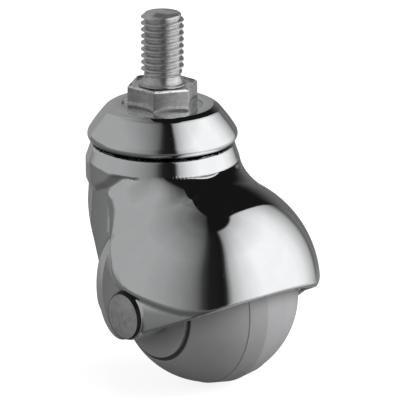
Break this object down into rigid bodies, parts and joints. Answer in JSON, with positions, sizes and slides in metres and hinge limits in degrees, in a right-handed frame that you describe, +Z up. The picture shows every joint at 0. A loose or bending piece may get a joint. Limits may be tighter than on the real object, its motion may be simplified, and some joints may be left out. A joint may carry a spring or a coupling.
{
  "type": "ball castor",
  "caption": "Swivelling furniture castor with a grey ball wheel under a chromed hood, a conical swivel collar and a threaded screw stem with a hexagon.",
  "frame": {"origin": "on the stem's axis, in the top face of the hexagon, which seats against the furniture", "axes": "+Z up along the stem, away from the wheel; +X the way the wheel trails behind the stem; Y along the axle"},
  "size_m": [0.0574, 0.0502, 0.0812],
  "materials": {
    "zinc_plated_steel": "bright zinc plate, drawn marks",
    "chromed_collar": "polished chrome plate",
    "chromed_hood": "polished chrome plate over a zinc casting",
    "bearing_steel": "hardened steel, lightly greased",
    "ball_steel": "polished ball steel",
    "axle_steel": "matt steel with fine scratches",
    "grey_nylon": "satin moulded nylon",
    "core_plastic": "matt moulded plastic",
    "tread_rubber": "satin grey non-marking rubber",
    "shell_plastic": "satin grey moulded plastic"
  },
  "bodies": {
    "stem": {"threaded_stem": "zinc_plated_steel", "swivel_collar": "chromed_collar", "top_race": "bearing_steel", "bottom_race": "bearing_steel"},
    "upper_balls": {"upper_ball_01": "ball_steel", "upper_ball_02": "ball_steel", "upper_ball_03": "ball_steel", "upper_ball_04": "ball_steel", "upper_ball_05": "ball_steel", "upper_ball_06": "ball_steel", "upper_ball_07": "ball_steel", "upper_ball_08": "ball_steel", "upper_ball_09": "ball_steel", "upper_ball_10": "ball_steel", "upper_ball_11": "ball_steel", "upper_ball_12": "ball_steel", "upper_ball_13": "ball_steel", "upper_ball_14": "ball_steel", "upper_ball_15": "ball_steel", "upper_ball_16": "ball_steel"},
    "lower_balls": {"lower_ball_01": "ball_steel", "lower_ball_02": "ball_steel", "lower_ball_03": "ball_steel", "lower_ball_04": "ball_steel", "lower_ball_05": "ball_steel", "lower_ball_06": "ball_steel", "lower_ball_07": "ball_steel", "lower_ball_08": "ball_steel", "lower_ball_09": "ball_steel", "lower_ball_10": "ball_steel", "lower_ball_11": "ball_steel", "lower_ball_12": "ball_steel"},
    "hood": {"hood": "chromed_hood", "hood_upper_race": "bearing_steel", "hood_lower_race": "bearing_steel", "axle": "axle_steel", "axle_cap": "axle_steel", "washer_left": "grey_nylon", "washer_right": "grey_nylon"},
    "wheel": {"axle_bush": "grey_nylon", "wheel_core": "core_plastic", "tread_band": "tread_rubber", "side_shell_left": "shell_plastic", "side_shell_right": "shell_plastic", "hub_disc_left": "shell_plastic", "hub_disc_right": "shell_plastic"}
  },
  "joints": [
    {"name": "swivel", "type": "hinge", "parent": "stem", "child": "hood", "pos_m": [0, 0, 0], "axis": [0, 0, 1], "continuous": true},
    {"name": "wheel_spin", "type": "hinge", "parent": "hood", "child": "wheel", "pos_m": [0.0163, 0, -0.0453], "axis": [0, 1, 0], "continuous": true},
    {"name": "upper_ball_orbit", "type": "hinge", "parent": "stem", "child": "upper_balls", "pos_m": [0, 0, 0], "axis": [0, 0, 1], "continuous": true},
    {"name": "lower_ball_orbit", "type": "hinge", "parent": "stem", "child": "lower_balls", "pos_m": [0, 0, 0], "axis": [0, 0, 1], "continuous": true}
  ],
  "couplings": [
    {"joint": "upper_ball_orbit", "follows": "swivel", "ratio": 0.5},
    {"joint": "lower_ball_orbit", "follows": "swivel", "ratio": 0.5}
  ]
}
